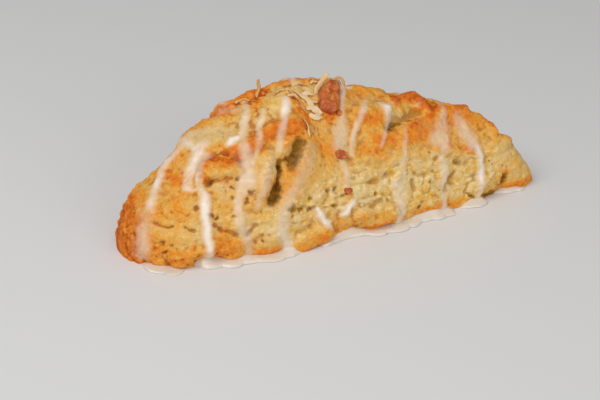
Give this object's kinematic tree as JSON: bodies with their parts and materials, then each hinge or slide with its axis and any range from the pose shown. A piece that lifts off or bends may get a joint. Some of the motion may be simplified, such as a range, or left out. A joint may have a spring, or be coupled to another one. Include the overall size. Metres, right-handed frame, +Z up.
{
  "type": "scone",
  "caption": "Baked scone: an uneven wedge of crumb and golden crust, with sugar glaze drizzled over it and set round its foot, pale shreds, and a piece of dried fruit on the crown.",
  "frame": {"origin": "on the surface that the scone rests on, under the middle of its box", "axes": "+X along the long cut face from the blunt end to the pointed end, +Z up; the long cut face looks towards -Y"},
  "size_m": [0.131, 0.0607, 0.0415],
  "materials": {
    "crust": "baked crust, golden to orange-brown, over pale yellow crumb, with translucent off-white sugar glaze in strands and round the foot",
    "fruit": "red-brown dried fruit, slightly glossy and wrinkled"
  },
  "bodies": {
    "root": {"scone": "crust", "fruit_piece": "fruit"}
  },
  "joints": []
}
